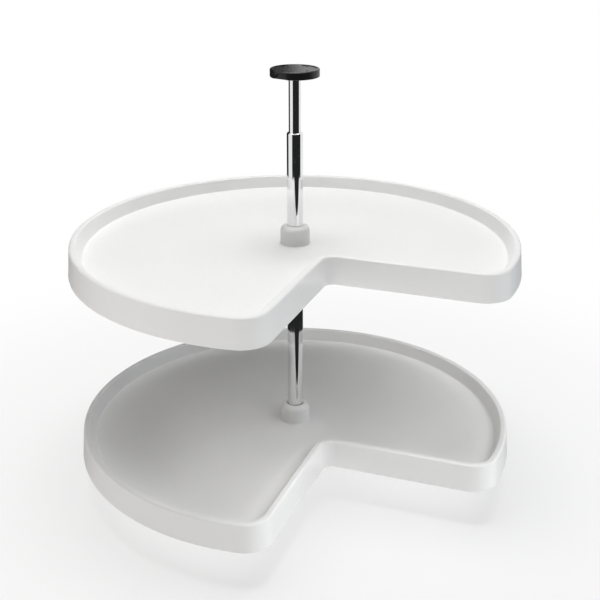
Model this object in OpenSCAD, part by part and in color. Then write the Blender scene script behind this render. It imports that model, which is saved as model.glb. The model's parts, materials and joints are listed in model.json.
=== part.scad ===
// Two-tier corner carousel for a kitchen corner cabinet: two three-quarter-round moulded trays
// that turn independently on a telescoping steel post.
// The post is screwed to the cabinet's floor, and its top plate to the underside of the cabinet's top.
// Origin: centre of the base plate's underside. +Z is up, and the notch of both trays faces -Y.

/* [Heights] */
// Cabinet floor to the upper face of the top plate, as installed
overall_h = 686; // [670:1:700]
// Cabinet floor to the rim top of the lower tray
lower_rim_h = 106.5; // [104:0.5:112]
// Rim top of the lower tray to rim top of the upper tray
tray_pitch = 317.5; // [305:0.5:330]
// Length of the post's outer tube
outer_tube_len = 582.5; // [575:0.5:590]
// Length of the post's inner tube
inner_tube_len = 300; // [280:1:320]

/* [Tray outline] */
// Diameter over the rim
tray_d = 711; // [700:1:722]
// Post axis to each straight edge of the notch
notch_edge = 80; // [76:1:84]
// Outer corner radius where the notch meets the round side
corner_r = 40; // [36:1:46]
// Radius of the notch's inner corner
apex_r = 20; // [16:1:26]

/* [Tray section] */
// Rim top to the bottom edge of the outer skirt
tray_h = 44.5; // [43:0.5:47]
// Rim top to the floor of the dish
dish_depth = 20; // [18:0.5:22]
// Width of the rolled rim, outer face to inner face
rim_w = 11; // [10:0.25:12.5]
// Radius of the rim's outer shoulder
outer_round = 4.5; // [4:0.25:5]
// Radius of the rim's inner shoulder
inner_round = 3.5; // [3:0.25:4]
// Moulding draft of the outer skirt, in degrees
skirt_draft = 5; // [3:0.5:6]
// Lean of the dish's inner wall from upright, in degrees
dish_lean = 24; // [20:1:28]
// Radius between the dish's wall and floor
foot_r = 4; // [3:0.5:5]
// Thickness of the rim and the skirt
tray_wall = 2.4; // [2:0.1:2.8]
// Thickness of the floor
floor_t = 3; // [2.6:0.1:3.4]
// How much thicker the floor's edge is, where it runs into the rim
edge_extra = 0.6; // [0.4:0.1:1]

/* [Tray ribs] */
// Number of radial ribs round a full circle
radial_ribs = 16; // [12:4:20]
// Number of ring ribs between the hub and the rim
ring_ribs = 2; // [1:1:3]
// Rib thickness
rib_t = 2; // [1.6:0.1:2.4]
// Rib depth below the floor
rib_h = 13; // [11:0.5:14]

/* [Tray hub] */
// Hub diameter
hub_d = 47; // [45:0.5:49]
// Hub top above the rim top
hub_rise = 15.5; // [13:0.5:18]
// Radius of the hub's top edge
hub_round = 9.5; // [8:0.5:10]
// Hub underside below the rim top
hub_drop = 39; // [38:0.5:41]
// Thickness of the lip that closes the hub over its sleeve
hub_lip_t = 4; // [3:0.5:5]
// Radial gap between the hub's lip and the post
hub_lip_gap = 0.6; // [0.4:0.1:0.8]
// Wall of the sleeve that runs on the post
sleeve_wall = 2.8; // [2.4:0.1:3.2]
// Height of the floor's crown where it meets the hub
crown_h = 4.5; // [3:0.5:6]
// Diameter of the floor's crown
crown_d = 150; // [120:2:160]

/* [Post] */
// Outer tube diameter
outer_tube_d = 25.4; // [25:0.1:26]
// Inner tube diameter
inner_tube_d = 19.05; // [18.55:0.05:19.4]
// Wall of both tubes
tube_wall = 1.5; // [1.2:0.1:1.6]
// Gap between the outer tube's rolled end and the inner tube
curl_gap = 0.3; // [0.25:0.05:0.4]
// Length of the guide bush in the outer tube's top
bush_len = 28; // [26:1:34]
// Length of the guide plug below the inner tube
plug_len = 20; // [16:1:26]
// Length of the guide plug's spigot inside the inner tube
spigot_len = 14; // [12:1:18]
// Length of the threaded plug in the inner tube's top
top_plug_len = 20; // [16:1:26]

/* [Height lock] */
// Lock screw's axis below the outer tube's top
lock_drop = 17; // [15:0.5:20]
// Lock screw diameter
lock_screw_d = 5; // [4:0.5:6]
// Diameter of the weld nut
weld_nut_d = 11; // [10:0.5:12]
// Height of the weld nut off the outer tube
weld_nut_h = 4; // [3:0.5:5]

/* [Thrust bearings] */
// Race diameter
race_d = 40; // [39:0.5:41]
// Race thickness
race_t = 3.2; // [3:0.1:3.6]
// How far the upper race stands out of the hub
race_proud = 1; // [0.5:0.1:1.5]
// Pitch diameter of the ball track
ball_pitch_d = 33.5; // [33:0.25:34]
// Ball diameter
ball_d = 4.5; // [4.2:0.1:4.8]
// Number of balls in a bearing
balls = 14; // [10:1:16]
// Depth of the ball groove in a race
groove_depth = 1; // [0.8:0.1:1.2]
// Cage thickness
cage_t = 1.6; // [1.4:0.1:1.8]

/* [Collars] */
// Collar diameter
collar_d = 40; // [38:0.5:42]
// Collar height
collar_h = 14; // [12:0.5:16]
// Chamfer of the collar's edges
collar_edge = 1; // [0.5:0.1:1.5]
// Set screw diameter
set_screw_d = 6; // [5:0.5:7]

/* [End plates] */
// Diameter of the base plate and the top plate
plate_d = 76; // [75:0.5:80]
// Number of fixing holes in each plate
plate_holes = 4; // [3:1:4]
// Fixing hole diameter
fixing_d = 4.5; // [4:0.1:5]

/* [Base plate] */
// Thickness of the flange
base_t = 6; // [5:0.5:8]
// Radius of the flange's upper edge
base_round = 2.5; // [1.5:0.5:3.5]
// Diameter of the tube socket
socket_d = 36; // [34:0.5:38]
// Height of the tube socket above the flange
socket_h = 22; // [20:0.5:26]
// Radius between the tube socket and the flange
socket_foot_r = 3; // [2:0.5:4]
// Thickness of the gussets that brace the tube socket
gusset_t = 3; // [2:0.5:4]
// Height of the gussets above the flange
gusset_h = 8; // [6:0.5:9]
// Circle diameter of the base plate's fixing holes
base_pcd = 58; // [57:0.5:60]
// Base screw's axis below the top of the tube socket
base_screw_drop = 7; // [6:0.5:8]

/* [Top plate] */
// Thickness of the top plate
top_t = 12; // [11:0.5:14]
// Thickness of its closed web
top_web_t = 6; // [5.5:0.5:6.5]
// Radius of its lower edge
top_round = 1.5; // [1:0.5:2]
// Inner diameter of its side wall
top_skirt_bore = 62; // [61:0.5:63]
// Wall of its tube socket
top_socket_wall = 4; // [3:0.5:4.5]
// Circle diameter of its fixing holes
top_pcd = 52; // [51:0.5:53]
// Wall of the columns round its fixing holes
column_wall = 2; // [1.5:0.1:2.2]
// Depth of the finger recess in its side wall
recess_depth = 5; // [4:0.5:5.5]
// Width of the finger recess at the underside
recess_w = 26; // [22:1:28]
// Height of the finger recess
recess_h = 9; // [8:0.5:9.5]
// Direction of the finger recess in the plate, anticlockwise, in degrees
recess_at = 233; // [225:1:240]
// Width of the bar across its upper face
bar_w = 21; // [18:1:24]
// Depth of the two shallow pockets beside the bar
pocket_depth = 0.8; // [0.5:0.1:1]
// Width of the upper face's rim round the pockets
pocket_rim = 4; // [3:0.5:5]
// Turn of the plate on the post, anticlockwise, in degrees
plate_turn = -24.5; // [-45:0.5:45]

/* [Screws and fits] */
// Shank diameter of the base screw and the top screw
screw_d = 5; // [4.5:0.1:5.5]
// Hex socket of the screws, across the flats
hex_af = 3; // [2.5:0.1:3.2]
// Radial clearance of a running or sliding fit
running_fit = 0.05; // [0.03:0.01:0.08]
// Clearance between the balls and their grooves
ball_play = 0.15; // [0.12:0.01:0.2]
// Clearance between pieces that pass without touching
free_gap = 0.4; // [0.3:0.05:0.6]

/* [Hidden] */
$fn = 96;

// How far a cutting shape runs past the face that it cuts
cut = 1;
// The corners' wall laps into the straight and round walls by this turn, and is this much thinner on each face
lap_turn = 1.2;
lap_step = 0.03;
// Steps in a rounded edge, in an outline's corner and along the tray's round side
edge_steps = 6;
corner_steps = 12;
rim_steps = 90;

// Heights above the cabinet floor
upper_rim_h = lower_rim_h + tray_pitch;
outer_tube_top = base_t + outer_tube_len;
top_plate_h = overall_h - top_t;
inner_tube_top = overall_h - top_web_t;
inner_tube_foot = inner_tube_top - inner_tube_len;

// Radii of the post and of what fits it
tube_r = outer_tube_d / 2;
outer_bore_r = tube_r - tube_wall;
inner_r = inner_tube_d / 2;
inner_bore_r = inner_r - tube_wall;
curl_r = tube_r - inner_r - curl_gap;
sleeve_r = tube_r + sleeve_wall;
race_bore_r = tube_r + 2 * free_gap;
race_r = race_d / 2;
collar_r = collar_d / 2;
plate_r = plate_d / 2;

// Heights of the telescope's fittings
bush_top = outer_tube_top - curl_r;
lock_h = outer_tube_top - lock_drop;
base_screw_h = base_t + socket_h - base_screw_drop;
weld_nut_bore = lock_screw_d;
lock_hole_d = lock_screw_d + 2;

// Bearing: depths below the tray's rim top
race_seat = hub_drop + race_proud - race_t;
face_gap = ball_d + 2 * ball_play - 2 * groove_depth;
upper_face = race_seat + race_t;
track_depth = upper_face + face_gap / 2;
lower_face = upper_face + face_gap;
collar_top = lower_face + race_t;
groove_r = ball_d / 2 + 2 * ball_play;

// Tray outline in its own frame, where the notch is the quarter beyond x = y = notch_edge
tray_r = tray_d / 2;
hub_r = hub_d / 2;
corner_reach = sqrt(pow(tray_r - corner_r, 2) - pow(notch_edge - corner_r, 2));
corner_at = [corner_reach, notch_edge - corner_r];
corner_turn = atan2(corner_at.y, corner_at.x);
apex_at = notch_edge + apex_r;
notch_to_front = 225;

// Points of an arc about a centre, from one angle to another
function arc(centre, r, from, to, steps) =
    [for (i = [0:steps]) let (a = from + (to - from) * i / steps) centre + r * [cos(a), sin(a)]];

// Tray section: the shoulders of the rim, as inset from the outline and height from the rim top
outer_centre = [outer_round, -outer_round];
inner_centre = [rim_w - inner_round, -inner_round];
floor_under = dish_depth + floor_t;
edge_under = floor_under + edge_extra;

// Where the skirt and the dish wall leave their shoulders, on the face that lies t inside the section
function skirt_start(t) = outer_centre + (outer_round - t) * [-cos(skirt_draft), sin(skirt_draft)];
function wall_start(t) = inner_centre + (inner_round - t) * [cos(dish_lean), sin(dish_lean)];

// Inset of the same two faces at a depth below the rim top
function skirt_at(t, depth) = skirt_start(t).x - (skirt_start(t).y + depth) * tan(skirt_draft);
function wall_at(t, depth) = wall_start(t).x + (wall_start(t).y + depth) * tan(dish_lean);

foot_at = wall_at(0, dish_depth);
foot_centre = [foot_at + foot_r * tan((90 - dish_lean) / 2), foot_r - dish_depth];
floor_lap = foot_centre.x + floor_t;

// Closed section of the rolled rim: skirt, rim, dish wall and the edge of the floor, each face drawn in by s
function wall_section(s) = concat(
    [[skirt_at(s, tray_h - s), s - tray_h]],
    arc(outer_centre, outer_round - s, 180 - skirt_draft, 90, edge_steps),
    arc(inner_centre, inner_round - s, 90, dish_lean, edge_steps),
    arc(foot_centre, foot_r + s, 180 + dish_lean, 270, edge_steps),
    [[floor_lap - s, -dish_depth - s], [floor_lap - s, s - edge_under]],
    [[wall_at(tray_wall - s, edge_under - s), s - edge_under]],
    arc(inner_centre, inner_round - tray_wall + s, dish_lean, 90, edge_steps),
    arc(outer_centre, outer_round - tray_wall + s, 90, 180 - skirt_draft, edge_steps),
    [[skirt_at(tray_wall - s, tray_h - s), s - tray_h]]
);

// Tray outline brought in by an inset: round side, corner, notch apex, corner
function tray_outline(inset) = concat(
    arc([0, 0], tray_r - inset, 90 - corner_turn, 360 + corner_turn, rim_steps),
    arc(corner_at, corner_r - inset, corner_turn, 90, corner_steps),
    arc([apex_at, apex_at], apex_r + inset, 270, 180, corner_steps),
    arc([corner_at.y, corner_at.x], corner_r - inset, 0, 90 - corner_turn, corner_steps)
);

// A ring standing on z = 0
module ring(outer, inner, height) {
    linear_extrude(height)
        difference() {
            circle(outer);
            circle(inner);
        }
}

// A bar along +Y, from one distance off the post's axis to another
module rearward(radius, from, to) {
    translate([0, from, 0]) rotate([-90, 0, 0]) cylinder(r = radius, h = to - from);
}

// A headless screw along +Y with a hex socket in its outer end
module grub_screw(radius, from, to) {
    difference() {
        rearward(radius, from, to);
        translate([0, to - radius, 0])
            rotate([-90, 0, 0])
                cylinder(d = hex_af / cos(30), h = radius + cut, $fn = 6);
    }
}

// ---- Tray ----

// The rim's section turned about a centre inside the tray
module round_wall(radius, turn, drawn_in) {
    rotate_extrude(angle = turn)
        polygon([for (p = wall_section(drawn_in)) [radius - p.x, p.y]]);
}

module round_side() {
    rotate([0, 0, 90 - corner_turn]) round_wall(tray_r, 270 + 2 * corner_turn, 0);
}

// One outer corner and the straight edge beside it
module notch_side() {
    translate([corner_at.x, corner_at.y, 0])
        rotate([0, 0, corner_turn - lap_turn])
            round_wall(corner_r, 90 - corner_turn + 2 * lap_turn, lap_step);
    translate([corner_at.x, notch_edge, 0])
        rotate([90, 0, -90])
            linear_extrude(corner_at.x - apex_at)
                polygon(wall_section(0));
}

// The notch's inner corner, turned about a centre outside the tray
module notch_apex() {
    translate([apex_at, apex_at, 0])
        rotate([0, 0, 180 - lap_turn])
            rotate_extrude(angle = 90 + 2 * lap_turn)
                polygon([for (p = wall_section(lap_step)) [apex_r + p.x, p.y]]);
}

module floor_plate() {
    translate([0, 0, -floor_under])
        linear_extrude(floor_t)
            difference() {
                polygon(tray_outline((foot_centre.x + floor_lap) / 2));
                circle(d = crown_d - floor_t);
            }
}

// The floor climbs to the hub in a shallow cone of its own thickness
module crown() {
    rotate_extrude()
        polygon([
            [crown_d / 2, -dish_depth],
            [hub_r - tray_wall, crown_h - dish_depth],
            [hub_r - tray_wall, crown_h - floor_under],
            [crown_d / 2, -floor_under]
        ]);
}

module rib_plan() {
    ring_step = (tray_r - hub_r) / (ring_ribs + 1);
    for (i = [0:radial_ribs - 1])
        rotate(i * 360 / radial_ribs)
            translate([hub_r - tray_wall, -rib_t / 2])
                square([tray_r, rib_t]);
    for (i = [1:ring_ribs])
        difference() {
            circle(hub_r + i * ring_step + rib_t / 2);
            circle(hub_r + i * ring_step - rib_t / 2);
        }
}

// Ribs from their lower edge up into the floor, and into the underside of its crown
module ribs() {
    rib_foot = floor_under + rib_h;
    rib_top = floor_under - floor_t / 2;
    intersection() {
        translate([0, 0, -rib_foot])
            linear_extrude(rib_h + floor_t + crown_h)
                intersection() {
                    polygon(tray_outline(skirt_at(tray_wall / 2, floor_under + rib_h / 2)));
                    rib_plan();
                }
        rotate_extrude()
            polygon([
                [0, -rib_foot],
                [tray_r + tray_h, -rib_foot],
                [tray_r + tray_h, -rib_top],
                [crown_d / 2, -rib_top],
                [hub_r - tray_wall, crown_h - rib_top],
                [0, crown_h - rib_top]
            ]);
    }
}

// The hub with its rounded top, less the steps of its bore: lip, sleeve and race
module hub() {
    rotate_extrude()
        difference() {
            union() {
                translate([0, -hub_drop]) square([hub_r, hub_drop + hub_rise - hub_round]);
                translate([0, hub_rise - 2 * hub_round]) square([hub_r - hub_round, 2 * hub_round]);
                translate([hub_r - hub_round, hub_rise - hub_round]) circle(hub_round);
            }
            translate([-cut, -hub_d]) square([cut + tube_r + hub_lip_gap, 2 * hub_d]);
            translate([0, -hub_d]) square([sleeve_r, hub_d + hub_rise - hub_lip_t]);
            translate([0, -hub_d]) square([race_r, hub_d - race_seat]);
        }
}

module tray() {
    color("white")
        rotate([0, 0, notch_to_front]) {
            round_side();
            notch_side();
            mirror([1, -1, 0]) notch_side();
            notch_apex();
            floor_plate();
            crown();
            ribs();
            hub();
        }
}

// ---- Hub sleeve and thrust bearing ----

module hub_sleeve() {
    color("gainsboro")
        translate([0, 0, -race_seat])
            ring(sleeve_r, tube_r + running_fit, race_seat + hub_rise - hub_lip_t);
}

// A race with its ball groove in the upper face
module race() {
    color("lightsteelblue")
        rotate_extrude()
            difference() {
                translate([race_bore_r, 0]) square([race_r - race_bore_r, race_t]);
                translate([ball_pitch_d / 2, race_t - groove_depth + groove_r]) circle(groove_r);
            }
}

module top_race() {
    translate([0, 0, -race_seat]) mirror([0, 0, 1]) race();
}

module bottom_race() {
    translate([0, 0, -collar_top]) race();
}

module at_balls() {
    for (i = [0:balls - 1])
        rotate([0, 0, i * 360 / balls])
            translate([ball_pitch_d / 2, 0, 0])
                children();
}

module cage() {
    color("khaki")
        translate([0, 0, -track_depth - cage_t / 2])
            difference() {
                ring(race_r - running_fit, race_bore_r, cage_t);
                at_balls() translate([0, 0, -cut]) cylinder(r = ball_d / 2 + running_fit, h = cage_t + 2 * cut);
            }
}

module ball_set() {
    color("silver")
        translate([0, 0, -track_depth])
            at_balls() sphere(d = ball_d, $fn = 32);
}

// ---- Collar ----

module collar() {
    color("dimgray")
        translate([0, 0, -collar_top - collar_h])
            difference() {
                rotate_extrude()
                    polygon([
                        [tube_r, 0],
                        [collar_r - collar_edge, 0],
                        [collar_r, collar_edge],
                        [collar_r, collar_h - collar_edge],
                        [collar_r - collar_edge, collar_h],
                        [tube_r, collar_h]
                    ]);
                translate([0, 0, collar_h / 2]) rearward(set_screw_d / 2, 0, collar_r + cut);
            }
}

module collar_screw() {
    color("black")
        translate([0, 0, -collar_top - collar_h / 2])
            grub_screw(set_screw_d / 2, tube_r, collar_r - collar_edge);
}

// ---- Post ----

module base_plate() {
    color("dimgray")
        difference() {
            union() {
                rotate_extrude()
                    polygon(concat(
                        [[0, 0], [plate_r, 0]],
                        arc([plate_r - base_round, base_t - base_round], base_round, 0, 90, edge_steps),
                        arc([socket_d / 2 + socket_foot_r, base_t + socket_foot_r], socket_foot_r, 270, 180, edge_steps),
                        [[socket_d / 2, base_t + socket_h], [0, base_t + socket_h]]
                    ));
                gussets();
            }
            translate([0, 0, base_t]) cylinder(r = tube_r, h = socket_h + cut);
            at_fixings(base_pcd) {
                translate([0, 0, -cut]) cylinder(d = fixing_d, h = base_t + 2 * cut);
                translate([0, 0, base_t - fixing_d / 2]) cylinder(d1 = fixing_d, d2 = 2 * fixing_d, h = fixing_d / 2);
            }
            translate([0, 0, base_screw_h]) {
                rearward(screw_d / 2, 0, socket_d);
                rearward(screw_d, socket_d / 2 - cut, socket_d);
            }
        }
}

// Children at each fixing hole of a plate, between its gussets
module at_fixings(pcd) {
    for (i = [0:plate_holes - 1])
        rotate([0, 0, 45 + i * 360 / plate_holes])
            translate([pcd / 2, 0, 0])
                children();
}

// Upright webs that brace the tube socket on the flange
module gussets() {
    gusset_reach = plate_r - base_round;
    for (i = [0:plate_holes - 1])
        rotate([90, 0, i * 360 / plate_holes])
            translate([0, 0, -gusset_t / 2])
                linear_extrude(gusset_t)
                    polygon([
                        [tube_r + cut, base_t - cut],
                        [gusset_reach, base_t - cut],
                        [gusset_reach, base_t],
                        [socket_d / 2, base_t + gusset_h],
                        [tube_r + cut, base_t + gusset_h]
                    ]);
}

// Pan-head screw through the socket into the tube's wall
module base_screw() {
    color("silver")
        translate([0, 0, base_screw_h])
            difference() {
                union() {
                    rearward(screw_d / 2, outer_bore_r - cut, socket_d / 2);
                    rearward(screw_d - running_fit, socket_d / 2 - cut, socket_d / 2 + screw_d / 2);
                }
                translate([0, socket_d / 2, 0])
                    rotate([-90, 0, 0])
                        cylinder(d = hex_af / cos(30), h = screw_d, $fn = 6);
            }
}

// The outer tube's upper end is rolled in over the guide bush
module outer_tube() {
    curl_centre = [tube_r - curl_r, bush_top];
    color("silver")
        difference() {
            rotate_extrude()
                polygon(concat(
                    [[outer_bore_r, base_t], [tube_r, base_t]],
                    arc(curl_centre, curl_r, 0, 90, edge_steps),
                    arc(curl_centre, curl_r - tube_wall, 90, 0, edge_steps)
                ));
            translate([0, 0, lock_h]) rearward(lock_hole_d / 2, 0, tube_r + cut);
            translate([0, 0, base_screw_h]) rearward(screw_d / 2, 0, tube_r + cut);
        }
}

module guide_bush() {
    color("ivory")
        difference() {
            translate([0, 0, bush_top - bush_len]) ring(outer_bore_r, inner_r + running_fit, bush_len);
            translate([0, 0, lock_h]) rearward(lock_screw_d / 2 + free_gap, 0, tube_r);
        }
}

// Round nut welded over the lock hole, saddled to the tube
module weld_nut() {
    color("silver")
        translate([0, 0, lock_h])
            difference() {
                rearward(weld_nut_d / 2, outer_bore_r, tube_r + weld_nut_h);
                translate([0, 0, -weld_nut_d]) cylinder(r = tube_r, h = 2 * weld_nut_d);
                rearward(weld_nut_bore / 2, 0, tube_r + weld_nut_h + cut);
            }
}

// The lock screw, backed off its working gap from the inner tube
module lock_screw() {
    color("black")
        translate([0, 0, lock_h])
            grub_screw(lock_screw_d / 2, inner_r + free_gap, tube_r + weld_nut_h + cut);
}

// ---- Telescope ----

module inner_tube() {
    color("silver")
        translate([0, 0, inner_tube_foot])
            ring(inner_r, inner_bore_r, inner_tube_len);
}

// Guide plug pressed into the inner tube's lower end, with its body running in the outer tube
module inner_tube_plug() {
    plug_r = outer_bore_r - running_fit;
    color("ivory")
        translate([0, 0, inner_tube_foot - plug_len])
            rotate_extrude()
                polygon([
                    [inner_bore_r - tube_wall, 0],
                    [plug_r - collar_edge, 0],
                    [plug_r, collar_edge],
                    [plug_r, plug_len - collar_edge],
                    [plug_r - collar_edge, plug_len],
                    [inner_bore_r, plug_len],
                    [inner_bore_r, plug_len + spigot_len],
                    [inner_bore_r - tube_wall, plug_len + spigot_len]
                ]);
}

module top_plug() {
    color("silver")
        translate([0, 0, inner_tube_top - top_plug_len])
            ring(inner_bore_r, screw_d / 2, top_plug_len);
}

// Moulded cap: closed web above, side wall, tube socket, ribs and screw columns below
module top_plate() {
    pocket_t = top_t - top_web_t;
    socket_r = inner_r + top_socket_wall;
    skirt_r = top_skirt_bore / 2;
    color([0.08, 0.08, 0.08])
        translate([0, 0, top_plate_h])
            rotate([0, 0, plate_turn])
                difference() {
                    union() {
                        translate([0, 0, pocket_t]) cylinder(r = skirt_r + cut, h = top_web_t);
                        cylinder(r = socket_r, h = top_t - cut);
                        at_fixings(top_pcd) cylinder(r = fixing_d / 2 + column_wall, h = top_t - cut);
                        top_ribs(socket_r - cut, skirt_r + cut, pocket_t + cut);
                        rotate_extrude()
                            polygon(concat(
                                [[skirt_r, 0]],
                                arc([plate_r - top_round, top_round], top_round, 270, 360, edge_steps),
                                [[plate_r, top_t - cut], [plate_r - cut, top_t], [skirt_r, top_t]]
                            ));
                    }
                    translate([0, 0, -cut]) cylinder(r = inner_r, h = pocket_t + cut);
                    translate([0, 0, -cut]) cylinder(d = screw_d, h = top_t + 2 * cut);
                    translate([0, 0, top_t - screw_d / 2]) cylinder(d1 = screw_d, d2 = 2 * screw_d, h = screw_d / 2);
                    at_fixings(top_pcd) translate([0, 0, -cut]) cylinder(d = fixing_d, h = top_t + 2 * cut);
                    finger_recess();
                    face_pockets();
                }
}

module top_ribs(from, to, height) {
    for (i = [0:plate_holes - 1])
        rotate([0, 0, i * 360 / plate_holes])
            translate([from, -rib_t / 2, 0])
                cube([to - from, rib_t, height]);
}

// Arched recess in the side wall, for a finger
module finger_recess() {
    arch_r = (pow(recess_w / 2, 2) + pow(recess_h, 2)) / (2 * recess_h);
    rotate([0, 0, recess_at])
        translate([plate_r - recess_depth, 0, recess_h - arch_r])
            rotate([0, 90, 0])
                cylinder(r = arch_r, h = plate_r);
}

// Two shallow pockets in the upper face, either side of a bar
module face_pockets() {
    translate([0, 0, top_t - pocket_depth])
        linear_extrude(pocket_depth + cut)
            difference() {
                circle(plate_r - pocket_rim);
                square([bar_w, plate_d], center = true);
            }
}

// Countersunk screw from above, through the top plate into the tube's plug
module top_screw() {
    color("silver")
        difference() {
            union() {
                translate([0, 0, inner_tube_top - top_plug_len / 2])
                    cylinder(d = screw_d, h = top_web_t + top_plug_len / 2 - screw_d / 2);
                translate([0, 0, overall_h - screw_d / 2])
                    cylinder(d1 = screw_d, d2 = 2 * screw_d, h = screw_d / 2);
            }
            translate([0, 0, overall_h - screw_d / 2])
                cylinder(d = hex_af / cos(30), h = screw_d, $fn = 6);
        }
}

module at_lower_rim() {
    translate([0, 0, lower_rim_h]) children();
}

module at_upper_rim() {
    translate([0, 0, upper_rim_h]) children();
}

base_plate();
base_screw();
outer_tube();
guide_bush();
weld_nut();
lock_screw();
at_lower_rim() collar();  // lower_collar
at_lower_rim() collar_screw();  // lower_collar_screw
at_lower_rim() bottom_race();  // lower_bottom_race
at_lower_rim() cage();  // lower_cage
at_lower_rim() ball_set();  // lower_balls
at_lower_rim() top_race();  // lower_top_race
at_lower_rim() hub_sleeve();  // lower_hub_sleeve
at_lower_rim() tray();  // lower_tray
at_upper_rim() collar();  // upper_collar
at_upper_rim() collar_screw();  // upper_collar_screw
at_upper_rim() bottom_race();  // upper_bottom_race
at_upper_rim() cage();  // upper_cage
at_upper_rim() ball_set();  // upper_balls
at_upper_rim() top_race();  // upper_top_race
at_upper_rim() hub_sleeve();  // upper_hub_sleeve
at_upper_rim() tray();  // upper_tray
inner_tube();
inner_tube_plug();
top_plug();
top_plate();
top_screw();
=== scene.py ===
"""Looks of a two-tier corner carousel: two white three-quarter-round trays on a chromed telescoping post."""
import json
from math import atan2, cos, pi, radians, sin, sqrt, tan

import bpy
import numpy as np
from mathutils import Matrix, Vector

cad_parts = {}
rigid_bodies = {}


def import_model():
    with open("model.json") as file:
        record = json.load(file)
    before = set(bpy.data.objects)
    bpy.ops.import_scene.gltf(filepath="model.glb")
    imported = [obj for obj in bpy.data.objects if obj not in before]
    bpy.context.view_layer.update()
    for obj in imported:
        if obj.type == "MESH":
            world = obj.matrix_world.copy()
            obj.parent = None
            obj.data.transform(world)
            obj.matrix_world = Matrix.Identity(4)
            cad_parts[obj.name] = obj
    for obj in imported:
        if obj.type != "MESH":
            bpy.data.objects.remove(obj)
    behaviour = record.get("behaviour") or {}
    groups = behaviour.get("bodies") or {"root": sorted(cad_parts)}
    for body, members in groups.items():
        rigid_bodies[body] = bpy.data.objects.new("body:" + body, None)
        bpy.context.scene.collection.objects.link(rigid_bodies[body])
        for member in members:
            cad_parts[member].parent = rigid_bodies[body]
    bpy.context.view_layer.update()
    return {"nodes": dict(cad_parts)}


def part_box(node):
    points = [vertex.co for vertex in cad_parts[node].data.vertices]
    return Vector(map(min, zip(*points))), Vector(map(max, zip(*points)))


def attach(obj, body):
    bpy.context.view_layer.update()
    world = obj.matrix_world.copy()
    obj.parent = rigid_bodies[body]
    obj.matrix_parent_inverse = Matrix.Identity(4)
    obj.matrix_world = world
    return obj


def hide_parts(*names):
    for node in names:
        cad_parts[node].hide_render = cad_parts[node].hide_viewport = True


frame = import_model()
nodes = frame["nodes"]


# ---- Camera ----
# It stands in front of the trays, to their left and about 0.3 m above the post's top, and looks down at the
# post. Its place and focal length were solved from the outlines of both trays.
image_size = 600
focal_px = 1072.67
sensor_width = 36
camera_at = (-0.6758, -1.4830, 0.9675)
look_down = 0.3838
look_turn = radians(-24.775)

camera_data = bpy.data.cameras.new("camera")
camera_data.sensor_width = sensor_width
camera_data.lens = focal_px / image_size * sensor_width
camera = bpy.data.objects.new("camera", camera_data)
camera.location = camera_at
camera.rotation_euler = (pi / 2 - look_down, 0, look_turn)
bpy.context.scene.collection.objects.link(camera)
bpy.context.scene.camera = camera


# ---- Outer tube ----
# One-inch steel tube, bright chromed. Its upper end is rolled in over the guide bush, and it stands
# in the base plate's socket. The inner tube telescopes in it.
around_tube = 192
curl_steps = 10
tube_wall = 0.0015
curl_gap = 0.0003
foot_row = 0.002
curl_row = 0.0004


def arc(centre, radius, start, end, steps):
    """Points on a circle about a centre, from one angle to another in degrees, both ends included."""
    turn = np.radians(np.linspace(start, end, steps + 1))
    return np.stack([centre[0] + radius * np.cos(turn), centre[1] + radius * np.sin(turn)], axis=1)


def grid_faces(rows, columns, close_rows=True):
    """Quads between neighbours of a grid of points: each joins (r, c), (r, c + 1), (r + 1, c + 1) and
    (r + 1, c). The grid is closed along its columns and, unless told otherwise, along its rows."""
    row = np.arange(rows if close_rows else rows - 1)[:, None]
    column = np.arange(columns)[None, :]
    next_row = (row + 1) % rows
    next_column = (column + 1) % columns
    corners = [row * columns + column, row * columns + next_column,
               next_row * columns + next_column, next_row * columns + column]
    return np.stack([corner.ravel() for corner in corners], axis=1)


def new_piece(name, points, faces, material, body, stands_for=(), sharp=None):
    """A mesh piece on a body: smooth-shaded, split at edges sharper than the given angle."""
    mesh = bpy.data.meshes.new(name)
    mesh.from_pydata(np.asarray(points).tolist(), [], [list(map(int, face)) for face in faces])
    mesh.shade_smooth()
    if sharp:
        mesh.set_sharp_from_angle(angle=radians(sharp))
    mesh.materials.append(material)
    piece = bpy.data.objects.new(name, mesh)
    bpy.context.scene.collection.objects.link(piece)
    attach(piece, body)
    if stands_for:
        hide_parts(*stands_for)
    return piece


def revolved(profile, steps):
    """A closed profile of radius r and height, anticlockwise in that plane, turned about the post's axis: at
    an angle a, x = r cos a and y = r sin a."""
    turn = np.linspace(0, 2 * pi, steps, endpoint=False)
    radius, height = profile[:, 0][:, None], profile[:, 1][:, None]
    points = np.stack([radius * np.cos(turn), radius * np.sin(turn), height + 0 * turn], axis=2)
    return points.reshape(-1, 3), grid_faces(len(profile), steps)[:, ::-1]


def node_group(name, inputs, outputs):
    """An empty shader node group. Its inputs are given as name, kind and value, and its outputs as names."""
    group = bpy.data.node_groups.new(name, "ShaderNodeTree")
    for label, kind, value in inputs:
        socket = group.interface.new_socket(label, in_out="INPUT", socket_type=kind)
        socket.default_value = value
    for label in outputs:
        group.interface.new_socket(label, in_out="OUTPUT", socket_type="NodeSocketFloat")
    return group, group.nodes.new("NodeGroupInput"), group.nodes.new("NodeGroupOutput")


def add_node(tree, kind, values=(), **settings):
    """A node in a tree, with its settings and the values of its inputs."""
    node = tree.nodes.new(kind)
    for key, value in settings.items():
        setattr(node, key, value)
    for key, value in dict(values).items():
        node.inputs[key].default_value = value
    return node


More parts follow.
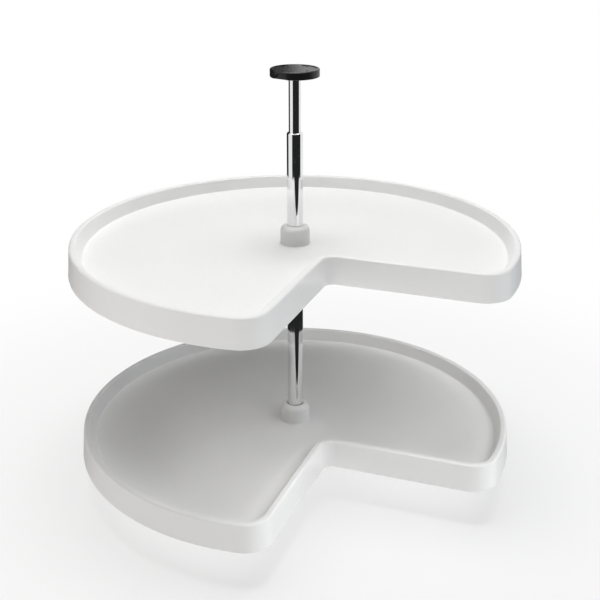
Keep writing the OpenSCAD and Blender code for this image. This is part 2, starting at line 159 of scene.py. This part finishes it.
# Grain: a fine pattern on object coordinates, stretched by its scale along each axis. It puts out the pattern
# from 0 to 1, and the same pattern spread between two values for roughness. Most of the pattern lies between
# these two.
noise_low, noise_high = 0.3, 0.7
grain, grain_in, grain_out = node_group(
    "grain",
    [("Scale", "NodeSocketVector", (1, 1, 1)), ("Detail", "NodeSocketFloat", 4),
     ("Low", "NodeSocketFloat", 0.3), ("High", "NodeSocketFloat", 0.5)],
    ["Pattern", "Spread"])
grain_place = add_node(grain, "ShaderNodeTexCoord")
grain_scale = add_node(grain, "ShaderNodeVectorMath", operation="MULTIPLY")
grain_noise = add_node(grain, "ShaderNodeTexNoise", {"Scale": 1, "Roughness": 0.6})
grain_spread = add_node(grain, "ShaderNodeMapRange", {"From Min": noise_low, "From Max": noise_high})
grain.links.new(grain_place.outputs["Object"], grain_scale.inputs[0])
grain.links.new(grain_in.outputs["Scale"], grain_scale.inputs[1])
grain.links.new(grain_scale.outputs["Vector"], grain_noise.inputs["Vector"])
grain.links.new(grain_in.outputs["Detail"], grain_noise.inputs["Detail"])
grain.links.new(grain_noise.outputs["Fac"], grain_spread.inputs["Value"])
grain.links.new(grain_in.outputs["Low"], grain_spread.inputs["To Min"])
grain.links.new(grain_in.outputs["High"], grain_spread.inputs["To Max"])
grain.links.new(grain_noise.outputs["Fac"], grain_out.inputs["Pattern"])
grain.links.new(grain_spread.outputs["Result"], grain_out.inputs["Spread"])


def new_material(name, values):
    """A material with one Principled shader, whose uniform values stand on its own sockets."""
    material = bpy.data.materials.new(name)
    material.use_nodes = True
    shader = material.node_tree.nodes["Principled BSDF"]
    for key, value in values.items():
        shader.inputs[key].default_value = value
    return material, material.node_tree, shader


def add_grain(tree, shader, scale, detail, low, high, bump=0.0, depth=0.0):
    """Roughness that follows a grain between two values, and a bump of that grain if asked."""
    pattern = add_node(tree, "ShaderNodeGroup", node_tree=grain)
    pattern.inputs["Scale"].default_value = scale
    pattern.inputs["Detail"].default_value = detail
    pattern.inputs["Low"].default_value = low
    pattern.inputs["High"].default_value = high
    tree.links.new(pattern.outputs["Spread"], shader.inputs["Roughness"])
    if bump:
        relief = add_node(tree, "ShaderNodeBump", {"Strength": bump, "Distance": depth})
        tree.links.new(pattern.outputs["Pattern"], relief.inputs["Height"])
        tree.links.new(relief.outputs["Normal"], shader.inputs["Normal"])
    return pattern


def add_tint(tree, shader, pattern, dark, light):
    """Base colour that follows a grain's pattern from a dark to a light tone."""
    ramp = add_node(tree, "ShaderNodeValToRGB")
    for stop, place, tone in zip(ramp.color_ramp.elements, (noise_low, noise_high), (dark, light)):
        stop.position = place
        stop.color = (*tone, 1)
    tree.links.new(pattern.outputs["Pattern"], ramp.inputs["Fac"])
    tree.links.new(ramp.outputs["Color"], shader.inputs["Base Color"])


# Chrome over a drawn tube: mirror-like, with a faint grain along the tube
chrome, chrome_tree, chrome_shader = new_material("bright_chrome", {"Metallic": 1.0})
chrome_grain = add_grain(chrome_tree, chrome_shader, (900, 900, 12), 3, 0.035, 0.075)
add_tint(chrome_tree, chrome_shader, chrome_grain, (0.80, 0.805, 0.81), (0.86, 0.862, 0.865))

tube_low, tube_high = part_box("outer_tube")
inner_low, inner_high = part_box("inner_tube")
tube_radius = tube_high.x
inner_radius = inner_high.x
curl_radius = tube_radius - inner_radius - curl_gap
curl_centre = (tube_radius - curl_radius, tube_high.z - curl_radius)
# Rows close to the curl and to the tube's foot keep the straight wall's shading true
straight_rows = np.array([0.0, foot_row, curl_centre[1] - tube_low.z - curl_row])
outer_tube_profile = np.concatenate([
    [(tube_radius, tube_low.z + height) for height in straight_rows],
    arc(curl_centre, curl_radius, 0, 90, curl_steps),
    arc(curl_centre, curl_radius - tube_wall, 90, 0, curl_steps),
    [(tube_radius - tube_wall, tube_low.z + height) for height in straight_rows[::-1]]])
tube_points, tube_faces = revolved(outer_tube_profile, around_tube)
new_piece("outer_tube_chromed", tube_points, tube_faces, chrome, "post", ["outer_tube"],
          sharp=40)


# ---- Weld nut and lock screw ----
# A round nut is welded to the rear of the outer tube, over a hole, and chromed with it. A black hex-socket
# screw in it clamps the inner tube at the height wanted.
nut_low, nut_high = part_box("weld_nut")
nut_radius = (nut_high.x - nut_low.x) / 2
nut_height = (nut_high.z + nut_low.z) / 2
# The weld is a bead that follows the saddle between the nut and the tube
bead_radius = 0.0009
bead_steps = 72
bead_ring = 10
bead_ripples = 18
ripple_share = 0.12


def dress(names, material):
    """Gives CAD nodes a material in place of their own."""
    for name in names:
        nodes[name].data.materials.clear()
        nodes[name].data.materials.append(material)


def saddle_bead(radius, tube, thickness, height, steps, ring):
    """A round bead carried along the curve where a rearward cylinder meets an upright one. Round the nut by
    an angle a, the curve is at x = radius cos a, z = height + radius sin a and y = sqrt(tube^2 - x^2). Its
    thickness swells by a share of cos(ripples a), as a weld's ripples do."""
    a = np.linspace(0, 2 * pi, steps, endpoint=False)[:, None]
    b = np.linspace(0, 2 * pi, ring, endpoint=False)[None, :]
    x, z = radius * np.cos(a), radius * np.sin(a)
    y = np.sqrt(tube ** 2 - x ** 2)
    swell = thickness * (1 + ripple_share * np.cos(bead_ripples * a))
    out = swell * np.cos(b)
    lift = swell * np.sin(b)
    points = np.stack([x + out * np.cos(a), y + lift, height + z + out * np.sin(a)], axis=2)
    return points.reshape(-1, 3), grid_faces(steps, ring)


dress(["weld_nut"], chrome)
bead_points, bead_faces = saddle_bead(nut_radius, tube_radius, bead_radius, nut_height, bead_steps, bead_ring)
new_piece("weld_bead", bead_points, bead_faces, chrome, "post")

# Blackened screws: dark oxide on steel, with a satin sheen
black_steel, black_tree, black_shader = new_material(
    "blackened_screw", {"Metallic": 0.6, "Specular IOR Level": 0.6})
black_grain = add_grain(black_tree, black_shader, (1600, 1600, 1600), 4, 0.28, 0.42, bump=0.15, depth=0.00003)
add_tint(black_tree, black_shader, black_grain, (0.018, 0.018, 0.019), (0.035, 0.035, 0.037))
dress(["lock_screw", "lower_collar_screw", "upper_collar_screw", "top_screw"], black_steel)


# ---- Base plate ----
# A casting, black powder-coated: a round flange with four countersunk holes, and a socket for the tube braced
# by four gussets. A zinc-plated screw holds the tube in the socket.
powder, powder_tree, powder_shader = new_material("black_powder_coat", {"Specular IOR Level": 0.5})
powder_grain = add_grain(powder_tree, powder_shader, (700, 700, 700), 3, 0.42, 0.56, bump=0.35, depth=0.00012)
add_tint(powder_tree, powder_shader, powder_grain, (0.020, 0.020, 0.022), (0.030, 0.030, 0.032))

zinc, zinc_tree, zinc_shader = new_material("zinc_plated_steel", {"Metallic": 1.0})
zinc_grain = add_grain(zinc_tree, zinc_shader, (420, 420, 420), 6, 0.22, 0.40, bump=0.08, depth=0.00003)
add_tint(zinc_tree, zinc_shader, zinc_grain, (0.55, 0.56, 0.58), (0.70, 0.71, 0.72))

dress(["base_plate"], powder)
dress(["base_screw", "top_plug", "lower_collar", "upper_collar"], zinc)


# ---- Bearings ----
# Under each hub, fourteen steel balls in a nylon cage roll between two ground steel races. A nylon sleeve in
# the hub runs on the post, and nylon guides run between the two tubes.
steel, steel_tree, steel_shader = new_material("ground_steel", {"Metallic": 1.0})
steel_grain = add_grain(steel_tree, steel_shader, (260, 260, 2600), 5, 0.14, 0.26, bump=0.06, depth=0.00002)
add_tint(steel_tree, steel_shader, steel_grain, (0.56, 0.56, 0.57), (0.68, 0.68, 0.69))

nylon, nylon_tree, nylon_shader = new_material(
    "natural_nylon", {"Subsurface Weight": 0.15, "Subsurface Scale": 0.002, "Specular IOR Level": 0.45})
nylon_grain = add_grain(nylon_tree, nylon_shader, (300, 300, 300), 4, 0.38, 0.52, bump=0.1, depth=0.00005)
add_tint(nylon_tree, nylon_shader, nylon_grain, (0.72, 0.70, 0.63), (0.80, 0.78, 0.71))

for tier in ("lower", "upper"):
    dress([tier + "_bottom_race", tier + "_top_race", tier + "_balls"], steel)
    dress([tier + "_cage", tier + "_hub_sleeve"], nylon)
dress(["guide_bush", "inner_tube_plug"], nylon)


# ---- Trays ----
# Each tray is one white injection moulding: a three-quarter-round floor with a right-angled notch, a rolled
# rim with a drafted skirt, a leaning dish wall, and a shallow crown in the floor up to the round-topped hub.
# Radial and ring ribs stiffen the floor from below.
tray_radius = 0.3555
notch_edge = 0.080
corner_radius = 0.040
apex_radius = 0.020
notch_to_front = radians(225)
round_steps = 288
corner_steps = 22
skirt_height = 0.0445
dish_depth = 0.020
rim_width = 0.011
outer_round = 0.0036
inner_round = 0.0026
skirt_draft = 5
dish_lean = 24
foot_radius = 0.0018
wall = 0.0024
floor_thickness = 0.003
edge_extra = 0.0006
edge_rounding = 0.0007
crown_height = 0.0045
crown_radius = 0.075
crown_ease = 1.25
hub_radius = 0.0235
hub_rise = 0.0155
hub_round = 0.0095
hub_drop = 0.039
hub_fillet = 0.0018
lip_thickness = 0.004
lip_gap = 0.0006
lip_edge = 0.0005
sleeve_radius = tube_radius + 0.0028
race_radius = 0.020
race_height = 0.0032
race_proud = 0.001
race_seat = hub_drop + race_proud - race_height
floor_under = dish_depth + floor_thickness
edge_under = floor_under + edge_extra
# The hub's top is a tray's highest point, so the height of the rim's top follows from the solid's box
tier_rims = {tier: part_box(tier + "_tray")[1].z - hub_rise for tier in ("lower", "upper")}


def outline_stations():
    """Points along the tray's outline and their inward normals, seen from above and anticlockwise: the round
    side about the post, a corner, a straight edge of the notch, its inner corner turned the other way, the
    other edge and the other corner."""
    reach = sqrt((tray_radius - corner_radius) ** 2 - (notch_edge - corner_radius) ** 2)
    corner = np.array([reach, notch_edge - corner_radius])
    turn = atan2(corner[1], corner[0])
    apex = notch_edge + apex_radius
    points, normals = [], []

    def add_arc(centre, radius, start, end, steps, inward):
        angle = np.linspace(start, end, steps, endpoint=False)
        away = np.stack([np.cos(angle), np.sin(angle)], axis=1)
        points.append(np.asarray(centre) + radius * away)
        normals.append(-inward * away)

    def add_edge(start, end, steps, normal):
        along = np.linspace(0, 1, steps, endpoint=False)[:, None]
        points.append(np.asarray(start) * (1 - along) + np.asarray(end) * along)
        normals.append(np.tile(normal, (steps, 1)))

    add_arc((0, 0), tray_radius, pi / 2 - turn, 2 * pi + turn, round_steps, 1)
    add_arc(corner, corner_radius, turn, pi / 2, corner_steps, 1)
    add_edge((corner[0], notch_edge), (apex, notch_edge), corner_steps, (0.0, -1.0))
    add_arc((apex, apex), apex_radius, 1.5 * pi, pi, corner_steps, -1)
    add_edge((notch_edge, apex), (notch_edge, corner[0]), corner_steps, (-1.0, 0.0))
    add_arc(corner[::-1], corner_radius, 0, pi / 2 - turn, corner_steps, 1)
    spin = np.array([[cos(notch_to_front), -sin(notch_to_front)], [sin(notch_to_front), cos(notch_to_front)]])
    return np.concatenate(points) @ spin.T, np.concatenate(normals) @ spin.T


def crown(radius):
    """Height of the floor above its flat part at a radius r: h ((c - r) / (c - b))^e, with h the crown's
    height, c its outer radius and b the hub's. As e is above 1, the crown leaves the flat floor without a
    crease."""
    rise = np.clip((crown_radius - radius) / (crown_radius - hub_radius), 0, 1)
    return crown_height * rise ** crown_ease


outer_centre = (outer_round, -outer_round)
inner_centre = (rim_width - inner_round, -inner_round)


def skirt_inset(depth, inside=0.0):
    """Inset of the skirt's face at a depth d below the rim top. The face leaves the shoulder at a depth t and
    an inset s, where the shoulder is as steep as the draft a, and goes on straight, at s - (d - t) tan a."""
    draft = radians(skirt_draft)
    start = outer_round - (outer_round - inside) * cos(draft)
    top = outer_round - (outer_round - inside) * sin(draft)
    return start - (depth - top) * tan(draft)


def dish_inset(depth, inside=0.0):
    """Inset of the dish wall's face at a depth d below the rim top. The face leaves the shoulder at a depth t
    and an inset s, where the shoulder leans by the wall's angle a, and goes on straight, at
    s + (d - t) tan a."""
    lean = radians(dish_lean)
    start = inner_centre[0] + (inner_round - inside) * cos(lean)
    top = inner_round - (inner_round - inside) * sin(lean)
    return start + (depth - top) * tan(lean)


foot_start = dish_inset(dish_depth)
foot_centre = (foot_start + foot_radius * tan(radians((90 - dish_lean) / 2)), foot_radius - dish_depth)
floor_edge = foot_centre[0] + floor_thickness
under_edge = floor_edge + 0.0012

# Wall profile as inset and height, from the skirt's bottom edge over the rim and down into the floor. The
# faces are straight, and have rows at these depths below the rim top.
skirt_rows = (0.0425, 0.034, 0.024, 0.014, 0.0046)
dish_rows = (0.0026, 0.006, 0.010, 0.014, 0.0171)
skirt_rows_inside = np.linspace(0.008, 0.040, 5)
dish_rows_inside = np.linspace(0.019, 0.007, 4)
floor_row = 0.0004
skirt_foot = skirt_inset(skirt_height)
skirt_foot_inside = skirt_inset(skirt_height, wall)
foot_mid = (skirt_foot + skirt_foot_inside) / 2
wall_top = np.concatenate([
    [(foot_mid, -skirt_height), (skirt_foot + edge_rounding, -skirt_height)],
    arc((skirt_foot + edge_rounding, edge_rounding - skirt_height), edge_rounding, 250, 180, 3),
    [(skirt_inset(depth), -depth) for depth in skirt_rows],
    arc(outer_centre, outer_round, 180 - skirt_draft, 90, 12),
    arc(inner_centre, inner_round, 90, dish_lean, 9),
    [(dish_inset(depth), -depth) for depth in dish_rows],
    arc(foot_centre, foot_radius, 180 + dish_lean, 270, 8),
    [(foot_centre[0] + floor_row, -dish_depth), (floor_edge, -dish_depth)]])

# Back from the floor's edge under the rim to the skirt's inner face
wall_under = np.concatenate([
    [(under_edge, -floor_under), (floor_edge, -edge_under), (dish_inset(edge_under, wall), -edge_under)],
    [(dish_inset(depth, wall), -depth) for depth in dish_rows_inside],
    arc(inner_centre, inner_round - wall, dish_lean, 90, 4),
    arc(outer_centre, outer_round - wall, 90, 180 - skirt_draft, 5),
    [(skirt_inset(depth, wall), -depth) for depth in skirt_rows_inside],
    arc((skirt_foot_inside - edge_rounding, edge_rounding - skirt_height), edge_rounding, 0, -70, 3)])

# Hub profile as radius and height, from the fillet on the floor over the round top and down its stepped bore
hub_floor = crown_height - dish_depth
hub_rows = np.linspace(hub_floor + 0.006, hub_rise - hub_round - 0.004, 3)
hub_under = -floor_under - 0.004
hub_outside = np.concatenate([
    arc((hub_radius + hub_fillet, hub_floor + hub_fillet), hub_fillet, 262, 180, 6),
    [(hub_radius, height) for height in hub_rows],
    arc((hub_radius - hub_round, hub_rise - hub_round), hub_round, 0, 90, 12),
    arc((tube_radius + lip_gap + lip_edge, hub_rise - lip_edge), lip_edge, 90, 180, 3),
    [(tube_radius + lip_gap, hub_rise - lip_thickness), (sleeve_radius, hub_rise - lip_thickness),
     (sleeve_radius, -race_seat), (race_radius, -race_seat), (race_radius, -hub_drop)],
    arc((hub_radius - edge_rounding, edge_rounding - hub_drop), edge_rounding, 270, 360, 3),
    [(hub_radius, hub_under)]])
floor_rows = 26
rows_crowd = 1.5
under_every = 3


def tray_points(rim):
    """The tray's whole skin as one grid, closed both ways. Its columns are the stations of the outline, and
    its rows follow the section: over the rim by insets along the normals, across the floor on straight lines
    towards the post, round the hub on circles, and back under the floor."""
    station, normal = outline_stations()

    def at_inset(inset, height):
        flat = station + normal * inset
        return np.column_stack([flat, np.full(len(flat), rim + height)])

    def at_radius(direction, radius, height):
        return np.column_stack([direction * radius, np.full(len(direction), rim + height)])

    def across(outer, direction, inner_radius, share, level):
        reach = np.linalg.norm(outer, axis=1)[:, None]
        radius = reach + (inner_radius - reach) * share
        return np.column_stack([direction * radius, rim + level + crown(radius)])

    edge = station + normal * floor_edge
    heading = edge / np.linalg.norm(edge, axis=1)[:, None]
    # Rows crowd towards the hub, where the crown curves. The underside needs fewer of them.
    shares = 1 - (1 - np.linspace(0, 1, floor_rows + 2)[1:-1]) ** rows_crowd
    rows = [at_inset(*point) for point in wall_top]
    rows += [across(edge, heading, hub_radius + hub_fillet, share, -dish_depth) for share in shares]
    rows += [at_radius(heading, *point) for point in hub_outside]
    rows += [across(station + normal * under_edge, heading, hub_radius, share, -floor_under)
             for share in shares[::-1][::under_every]]
    rows += [at_inset(*point) for point in wall_under]
    return np.concatenate(rows), grid_faces(len(rows), len(station))


rib_half = 0.001
rib_taper = 0.8
rib_depth = 0.013
radial_ribs = 16
ring_ribs = 2
ring_rib_steps = 150


def bars_between(inner, outer, half_width, top, bottom):
    """Upright bars from inner to outer points, each a closed box with a thinner lower edge, as eight corners.
    The top is given at both ends."""
    along = (outer - inner) / np.linalg.norm(outer - inner, axis=1)[:, None]
    side = np.stack([-along[:, 1], along[:, 0]], axis=1)
    corners = []
    for height_in, height_out, width in ((*top, half_width), (bottom, bottom, half_width * rib_taper)):
        for end, height in ((inner, height_in), (outer, height_out)):
            for sign in (-1, 1):
                flat = end + sign * width * side
                corners.append(np.column_stack([flat, np.broadcast_to(height, len(flat))]))
    points = np.stack(corners, axis=1).reshape(-1, 3)
    box = np.array([(0, 2, 3, 1), (4, 5, 7, 6), (0, 1, 5, 4), (1, 3, 7, 5), (3, 2, 6, 7), (2, 0, 4, 6)])
    faces = (box[None] + 8 * np.arange(len(inner))[:, None, None]).reshape(-1, 4)
    return points, faces


def notch_reach(angle, inset):
    """How far the tray reaches from the post in a direction, seen in its own quarter frame, less an inset: to
    the round side, or to whichever straight edge of the notch the direction meets last."""
    tiny = 1e-6
    c, s = np.cos(angle), np.sin(angle)
    in_notch = (c > tiny) & (s > tiny)
    edges = np.maximum(1 / np.maximum(c, tiny), 1 / np.maximum(s, tiny)) * (notch_edge - inset)
    return np.where(in_notch, np.minimum(edges, tray_radius - inset), tray_radius - inset)


def rib_points(rim):
    """Radial ribs from the hub into the skirt's wall, and ring ribs as arcs that end in the notch's walls."""
    inset = skirt_inset(floor_under + rib_depth / 2, wall / 2)
    bottom = rim - floor_under - rib_depth
    level = rim - floor_under + floor_thickness / 2
    angle = np.arange(radial_ribs) * 2 * pi / radial_ribs
    heading = np.stack([np.cos(angle + notch_to_front), np.sin(angle + notch_to_front)], axis=1)
    in_hub = np.full(radial_ribs, hub_radius - wall / 2)
    at_crown = np.full(radial_ribs, crown_radius)
    points, faces = [], []
    for start, stop in ((in_hub, at_crown), (at_crown, notch_reach(angle, inset))):
        top = (level + crown(start), level + crown(stop))
        box_points, box_faces = bars_between(
            heading * start[:, None], heading * stop[:, None], rib_half, top, bottom)
        faces.append(box_faces + sum(len(p) for p in points))
        points.append(box_points)
    ring_step = (tray_radius - hub_radius) / (ring_ribs + 1)
    for number in range(1, ring_ribs + 1):
        radius = hub_radius + number * ring_step
        half_gap = pi / 4 - np.arcsin((notch_edge - inset) / radius)
        turn = np.linspace(pi / 4 + half_gap, 2.25 * pi - half_gap, ring_rib_steps + 1) + notch_to_front
        section = [(radius - rib_half, level), (radius - rib_taper * rib_half, bottom),
                   (radius + rib_taper * rib_half, bottom), (radius + rib_half, level)]
        ring_points = np.stack([np.stack([r * np.cos(turn), r * np.sin(turn), z + 0 * turn], axis=1)
                                for r, z in section], axis=1).reshape(-1, 3)
        ring_faces = grid_faces(ring_rib_steps + 1, 4, close_rows=False)
        last = 4 * ring_rib_steps
        caps = np.array([(3, 2, 1, 0), (last, last + 1, last + 2, last + 3)])
        faces.append(np.concatenate([ring_faces, caps]) + sum(len(p) for p in points))
        points.append(ring_points)
    return np.concatenate(points), np.concatenate(faces)


# White moulding: satin, with the finest spark grain of the mould and a faint, broad unevenness of tone
white, white_tree, white_shader = new_material("white_moulding", {"Specular IOR Level": 0.5, "IOR": 1.49})
white_grain = add_grain(white_tree, white_shader, (1900, 1900, 1900), 3, 0.25, 0.33, bump=0.05, depth=0.00004)
white_flow = add_node(white_tree, "ShaderNodeGroup", node_tree=grain)
white_flow.inputs["Scale"].default_value = (7, 7, 7)
white_flow.inputs["Detail"].default_value = 2
add_tint(white_tree, white_shader, white_flow, (0.868, 0.867, 0.862), (0.885, 0.885, 0.880))

for tier, rim in tier_rims.items():
    skin_points, skin_faces = tray_points(rim)
    new_piece(tier + "_tray_moulding", skin_points, skin_faces, white, tier + "_turntable",
              [tier + "_tray"], sharp=45)
    ribs, rib_faces = rib_points(rim)
    new_piece(tier + "_tray_ribs", ribs, rib_faces, white, tier + "_turntable", sharp=30)


# ---- Inner tube ----
# Three-quarter-inch steel tube, bright chromed like the outer one, in which it slides through the guide bush.
# The plug in its upper end carries the top plate.
inner_tube_profile = np.array([
    (inner_radius - tube_wall, inner_low.z), (inner_radius, inner_low.z),
    (inner_radius, inner_high.z), (inner_radius - tube_wall, inner_high.z)])
inner_points, inner_faces = revolved(inner_tube_profile, around_tube)
new_piece("inner_tube_chromed", inner_points, inner_faces, chrome, "telescope",
          ["inner_tube"], sharp=40)


# ---- Top plate ----
# A black moulded cap, screwed to the inner tube's plug: closed above with a bar between two shallow pockets,
# open and ribbed below, with a finger recess in its side wall.
cap, cap_tree, cap_shader = new_material("black_moulding", {"Specular IOR Level": 0.28, "IOR": 1.5})
cap_grain = add_grain(cap_tree, cap_shader, (1400, 1400, 1400), 3, 0.24, 0.34, bump=0.12, depth=0.00005)
add_tint(cap_tree, cap_shader, cap_grain, (0.010, 0.010, 0.011), (0.015, 0.015, 0.016))
dress(["top_plate"], cap)


# ---- Stage ----
# A plain pale floor that runs to the horizon, and reflection cards round the post that only gloss sees: black
# flags all round, with a white card on the left and one on the right and behind.
floor_reach = 30
floor_near, floor_far = 0.3, 1.1
floor_near_share = 0.6
floor_unseen_share = 0.3
floor_unseen_glow = 2.5


def stage_piece(name, points, faces, material, gloss_only=False):
    """A piece of the studio, which isn't part of the object."""
    mesh = bpy.data.meshes.new(name)
    mesh.from_pydata(np.asarray(points).tolist(), [], [list(map(int, face)) for face in faces])
    mesh.materials.append(material)
    piece = bpy.data.objects.new(name, mesh)
    bpy.context.scene.collection.objects.link(piece)
    if gloss_only:
        piece.visible_camera = False
        piece.visible_diffuse = False
        piece.visible_shadow = False
        piece.visible_transmission = False
        piece.visible_volume_scatter = False
    return piece


def glow(name, strength):
    """An evenly lit white or grey, for a card or a flag."""
    material = bpy.data.materials.new(name)
    material.use_nodes = True
    tree = material.node_tree
    tree.nodes.clear()
    light = add_node(tree, "ShaderNodeEmission", {"Color": (1, 1, 1, 1), "Strength": strength})
    output = add_node(tree, "ShaderNodeOutputMaterial")
    tree.links.new(light.outputs["Emission"], output.inputs["Surface"])
    return material


def background_rays(tree):
    """A socket that is 1 for the rays that show the background: the camera's, and those off gloss or through
    glass."""
    path = add_node(tree, "ShaderNodeLightPath")
    seen = path.outputs["Is Camera Ray"]
    for kind in ("Is Glossy Ray", "Is Transmission Ray"):
        either = add_node(tree, "ShaderNodeMath", operation="MAXIMUM")
        tree.links.new(seen, either.inputs[0])
        tree.links.new(path.outputs[kind], either.inputs[1])
        seen = either.outputs["Value"]
    return seen


# The floor mixes white paint with a white glow. Far off it is all glow, and near the post the paint lets a
# soft shadow show. The light that it throws up at the object comes from less of a stronger glow, as in a pale
# room.
floor_paint = bpy.data.materials.new("pale_floor")
floor_paint.use_nodes = True
floor_tree = floor_paint.node_tree
floor_tree.nodes.clear()
floor_diffuse = add_node(floor_tree, "ShaderNodeBsdfDiffuse", {"Color": (0.92, 0.92, 0.92, 1)})
floor_white = add_node(floor_tree, "ShaderNodeEmission", {"Color": (1, 1, 1, 1)})
floor_mix = add_node(floor_tree, "ShaderNodeMixShader")
floor_place = add_node(floor_tree, "ShaderNodeTexCoord")
floor_distance = add_node(floor_tree, "ShaderNodeVectorMath", operation="LENGTH")
floor_fade = add_node(
    floor_tree, "ShaderNodeMapRange",
    {"From Min": floor_near, "From Max": floor_far, "To Min": floor_near_share, "To Max": 1.0},
    interpolation_type="SMOOTHSTEP")
floor_seen = background_rays(floor_tree)
floor_share = add_node(floor_tree, "ShaderNodeMapRange", {"To Min": floor_unseen_share})
floor_glow = add_node(floor_tree, "ShaderNodeMapRange", {"To Min": floor_unseen_glow, "To Max": 1.0})
floor_end = add_node(floor_tree, "ShaderNodeOutputMaterial")
floor_tree.links.new(floor_place.outputs["Object"], floor_distance.inputs[0])
floor_tree.links.new(floor_distance.outputs["Value"], floor_fade.inputs["Value"])
floor_tree.links.new(floor_seen, floor_share.inputs["Value"])
floor_tree.links.new(floor_fade.outputs["Result"], floor_share.inputs["To Max"])
floor_tree.links.new(floor_seen, floor_glow.inputs["Value"])
floor_tree.links.new(floor_glow.outputs["Result"], floor_white.inputs["Strength"])
floor_tree.links.new(floor_share.outputs["Result"], floor_mix.inputs["Fac"])
floor_tree.links.new(floor_diffuse.outputs["BSDF"], floor_mix.inputs[1])
floor_tree.links.new(floor_white.outputs["Emission"], floor_mix.inputs[2])
floor_tree.links.new(floor_mix.outputs["Shader"], floor_end.inputs["Surface"])
floor_corners = [(x * floor_reach, y * floor_reach, 0) for x, y in ((-1, -1), (1, -1), (1, 1), (-1, 1))]
stage_piece("floor", floor_corners, [(0, 1, 2, 3)], floor_paint)

card_radius = 0.95
card_low, card_high = 0.06, 1.4
flags_radius = card_radius + 0.01
flags_low = 0.001
disc_height = 0.002
card_steps = 90
camera_side = radians(-24.5)


def card_ring(start, end, radius, low):
    """An upright strip of a cylinder about the post, from a height up to the cards' top: at a bearing a,
    x = r sin a and y = -r cos a. Bearings are in degrees from the camera's side, positive to its right."""
    turn = np.radians(np.linspace(start, end, card_steps + 1)) + camera_side
    x, y = radius * np.sin(turn), -radius * np.cos(turn)
    rims = [np.column_stack([x, y, np.full(len(turn), height)]) for height in (low, card_high)]
    lower = np.arange(card_steps)
    faces = np.stack([lower, lower + 1, lower + card_steps + 2, lower + card_steps + 1], axis=1)
    return np.concatenate(rims), faces


flag_black = glow("flag_black", 0.018)
card_white = glow("card_white", 0.95)
stage_piece("black_flags", *card_ring(-180, 180, flags_radius, flags_low), flag_black, gloss_only=True)
for side, start, end in (("left", -102, -40), ("right", 83, 180)):
    stage_piece(side + "_card", *card_ring(start, end, card_radius, card_low), card_white, gloss_only=True)
disc_turn = np.linspace(0, 2 * pi, card_steps, endpoint=False)
disc = card_radius * np.column_stack([np.cos(disc_turn), np.sin(disc_turn)])
disc_points = np.column_stack([disc, np.full(card_steps, disc_height)])
stage_piece("black_floor_flag", disc_points, [range(card_steps)], flag_black, gloss_only=True)


# ---- Light ----
# Two softboxes above light the floors of the trays, and low fills at the sides and the front their outer
# walls. One behind sheens the upper floor, and one on the right reaches in under the upper tray to the lower.
softbox_aim = 0.35


def softbox(name, bearing, rise, distance, width, depth, strength, colour, in_gloss=False):
    """A rectangular lamp that looks at the post from a bearing in degrees, counted from the camera's side to
    its right, and an angle above the horizon. Its strength is what its face shines with: its power is that
    times pi times its area."""
    turn, lift = radians(bearing) + camera_side, radians(rise)
    away = np.array([cos(lift) * sin(turn), -cos(lift) * cos(turn), sin(lift)])
    data = bpy.data.lights.new(name, "AREA")
    data.shape = "RECTANGLE"
    data.size = width
    data.size_y = depth
    data.energy = strength * pi * width * depth
    data.color = colour
    lamp = bpy.data.objects.new(name, data)
    lamp.location = away * distance + np.array([0, 0, softbox_aim])
    lamp.rotation_euler = (pi / 2 - lift, 0, turn)
    lamp.visible_glossy = in_gloss
    bpy.context.scene.collection.objects.link(lamp)
    return lamp


warm, cool, neutral = (1.0, 0.93, 0.87), (0.88, 0.94, 1.0), (1.0, 1.0, 1.0)
softbox("softbox_zenith", 0, 90, 3.0, 1.3, 1.3, 6.0, neutral, in_gloss=True)
softbox("softbox_overhead", 180, 88, 3.0, 3.0, 1.6, 3.6, neutral, in_gloss=True)
softbox("softbox_left", -75, 40, 3.0, 3.0, 1.5, 0.3, warm)
softbox("fill_left", -75, -3, 1.7, 1.3, 0.5, 1.7, warm)
softbox("fill_right", 88, -3, 1.7, 1.3, 0.5, 2.6, cool)
front_box = softbox("fill_front", -5, -3, 2.0, 2.4, 0.5, 1.5, neutral)
rear_box = softbox("softbox_rear", 165, 21, 3.0, 4.0, 1.8, 2.4, neutral, in_gloss=True)
low_box = softbox("softbox_low", 62, 45, 3.0, 3.0, 1.6, 3.4, neutral)

# The rear box and the front fill shine on the upper tray alone, the low box on the lower one, and the two
# cards on everything but the trays
upper_lit = bpy.data.collections.new("upper_lit")
lower_lit = bpy.data.collections.new("lower_lit")
rest_lit = bpy.data.collections.new("rest_lit")
for piece in bpy.context.scene.objects:
    if piece.name.startswith("upper_tray"):
        upper_lit.objects.link(piece)
    elif piece.name.startswith("lower_tray"):
        lower_lit.objects.link(piece)
    elif piece.type == "MESH":
        rest_lit.objects.link(piece)
cards = [bpy.data.objects[name] for name in ("left_card", "right_card")]
for shone_on, sources in ((upper_lit, [rear_box, front_box]), (lower_lit, [low_box]), (rest_lit, cards)):
    for source in sources:
        source.light_linking.receiver_collection = shone_on

# The sky is white where it is seen, and otherwise gives the object next to no light
sky_unseen = 0.04
world = bpy.data.worlds.new("pale_studio")
bpy.context.scene.world = world
world.use_nodes = True
sky_tree = world.node_tree
sky_tree.nodes.clear()
sky_share = add_node(sky_tree, "ShaderNodeMapRange", {"To Min": sky_unseen, "To Max": 1.0})
sky_light = add_node(sky_tree, "ShaderNodeBackground", {"Color": (1, 1, 1, 1)})
sky_end = add_node(sky_tree, "ShaderNodeOutputWorld")
sky_tree.links.new(background_rays(sky_tree), sky_share.inputs["Value"])
sky_tree.links.new(sky_share.outputs["Result"], sky_light.inputs["Strength"])
sky_tree.links.new(sky_light.outputs["Background"], sky_end.inputs["Surface"])

bpy.context.scene.view_settings.view_transform = "Standard"
